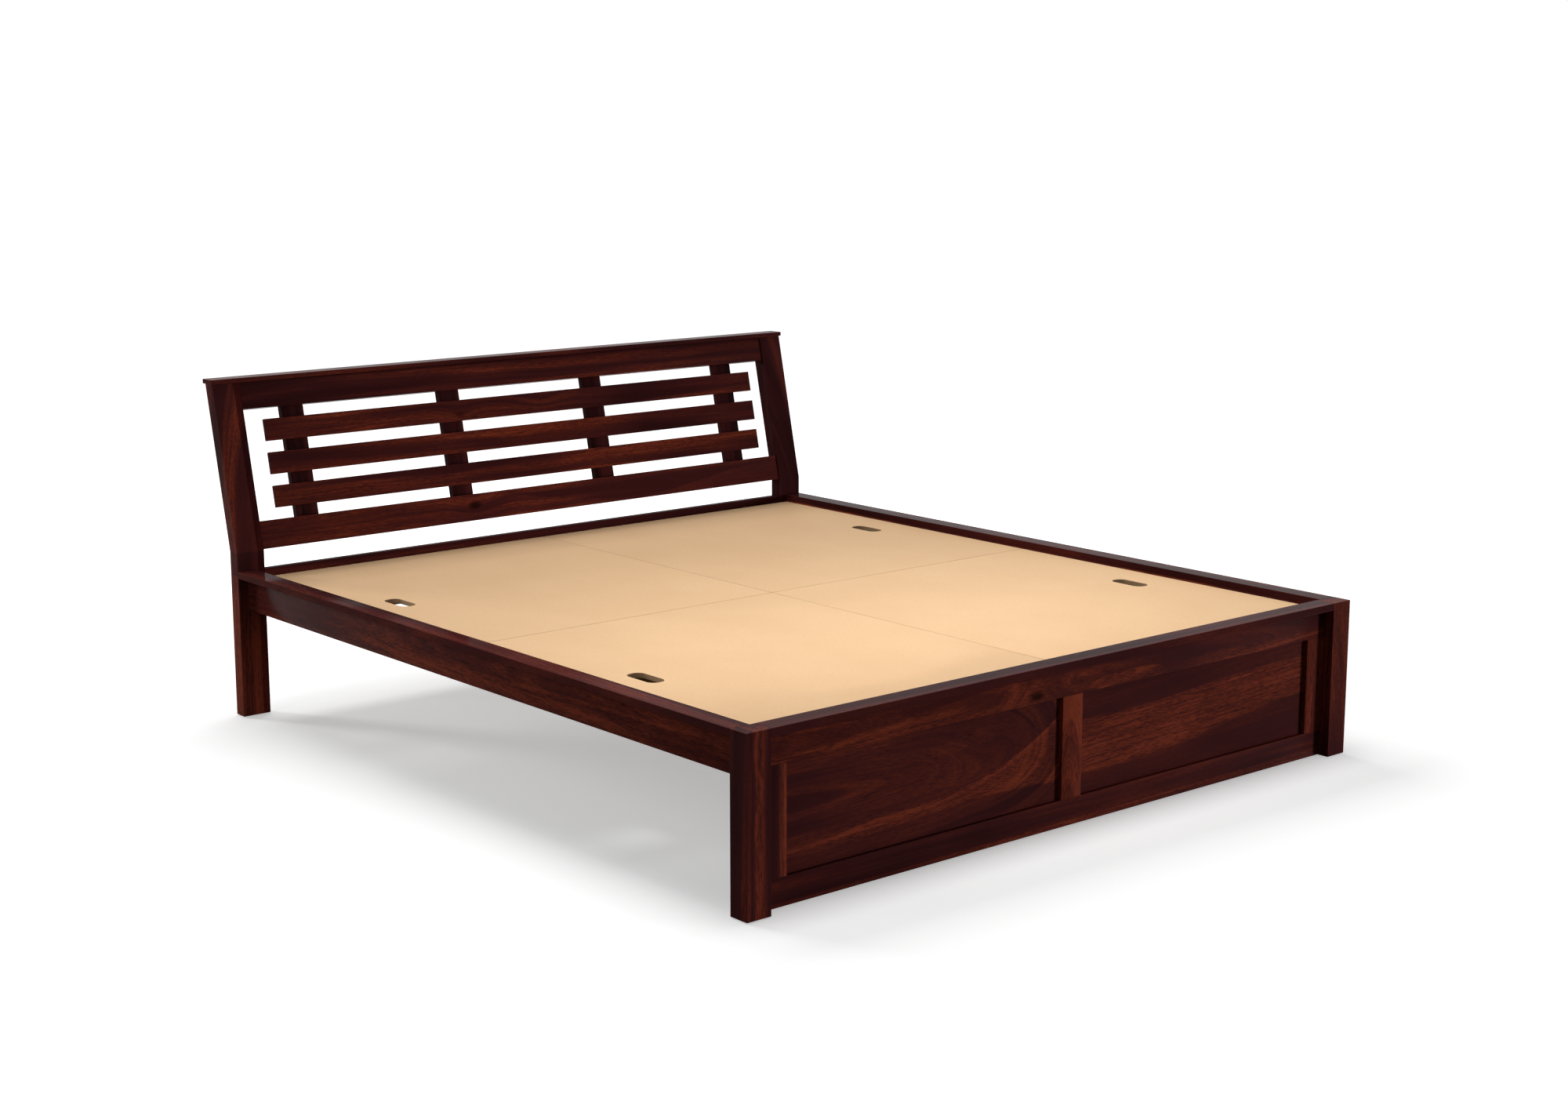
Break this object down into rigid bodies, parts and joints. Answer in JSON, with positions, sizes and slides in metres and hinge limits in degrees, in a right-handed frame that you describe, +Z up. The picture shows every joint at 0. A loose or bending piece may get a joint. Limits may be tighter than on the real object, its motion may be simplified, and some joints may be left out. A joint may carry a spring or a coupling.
{
  "type": "bed frame",
  "caption": "Wide low wooden bed frame with a framed panel foot end, capped side rails, a leaning slatted headboard and a lift-out panel deck with finger slots.",
  "frame": {"origin": "on the floor at the centre of the outline", "axes": "+Z up, +Y from the foot end towards the head end, +X towards the right side as seen from the foot end"},
  "size_m": [1.94, 2.2306, 0.8863],
  "materials": {
    "dark_wood": "dark red-brown hardwood with streaky grain under a satin lacquer",
    "deck_board": "plain light tan board, matt",
    "pale_wood": "plain sawn wood, brown stain, matt",
    "zinc_steel": "zinc plated steel",
    "glide_plastic": "black plastic"
  },
  "bodies": {
    "frame": {"foot_post_left": "dark_wood", "foot_post_right": "dark_wood", "foot_top_rail": "dark_wood", "foot_bottom_rail": "dark_wood", "foot_end_stile_left": "dark_wood", "foot_end_stile_right": "dark_wood", "foot_mid_stile": "dark_wood", "foot_panel_left": "dark_wood", "foot_panel_right": "dark_wood", "foot_cap": "dark_wood", "side_rail_left": "dark_wood", "side_rail_right": "dark_wood", "side_cap_left": "dark_wood", "side_cap_right": "dark_wood", "head_post_left": "dark_wood", "head_post_right": "dark_wood", "head_bed_rail": "dark_wood", "head_lower_rail": "dark_wood", "head_top_rail": "dark_wood", "head_cap": "dark_wood", "head_upright_1": "dark_wood", "head_upright_2": "dark_wood", "head_upright_3": "dark_wood", "head_upright_4": "dark_wood", "head_slat_lower": "dark_wood", "head_slat_middle": "dark_wood", "head_slat_upper": "dark_wood", "side_ledger_left": "pale_wood", "side_ledger_right": "pale_wood", "foot_ledger": "pale_wood", "head_ledger": "pale_wood", "centre_beam": "pale_wood", "cross_bearer_1": "pale_wood", "cross_bearer_2": "pale_wood", "cross_bearer_3": "pale_wood", "cross_bearer_4": "pale_wood", "cross_bearer_5": "pale_wood", "centre_leg_foot": "pale_wood", "centre_leg_head": "pale_wood", "corner_irons": "zinc_steel", "corner_screws": "zinc_steel", "ledger_screws": "zinc_steel", "slat_screws": "zinc_steel", "cap_dowels": "pale_wood", "head_cap_dowels": "pale_wood", "floor_glides": "glide_plastic"},
    "deck_foot_left": {"deck_panel_foot_left": "deck_board"},
    "deck_foot_right": {"deck_panel_foot_right": "deck_board"},
    "deck_head_left": {"deck_panel_head_left": "deck_board"},
    "deck_head_right": {"deck_panel_head_right": "deck_board"}
  },
  "joints": [
    {"name": "foot_left_lift", "type": "slide", "parent": "frame", "child": "deck_foot_left", "axis": [0, 0, 1], "range_m": [0, 0.3]},
    {"name": "foot_right_lift", "type": "slide", "parent": "frame", "child": "deck_foot_right", "axis": [0, 0, 1], "range_m": [0, 0.3]},
    {"name": "head_left_lift", "type": "slide", "parent": "frame", "child": "deck_head_left", "axis": [0, 0, 1], "range_m": [0, 0.3]},
    {"name": "head_right_lift", "type": "slide", "parent": "frame", "child": "deck_head_right", "axis": [0, 0, 1], "range_m": [0, 0.3]}
  ]
}
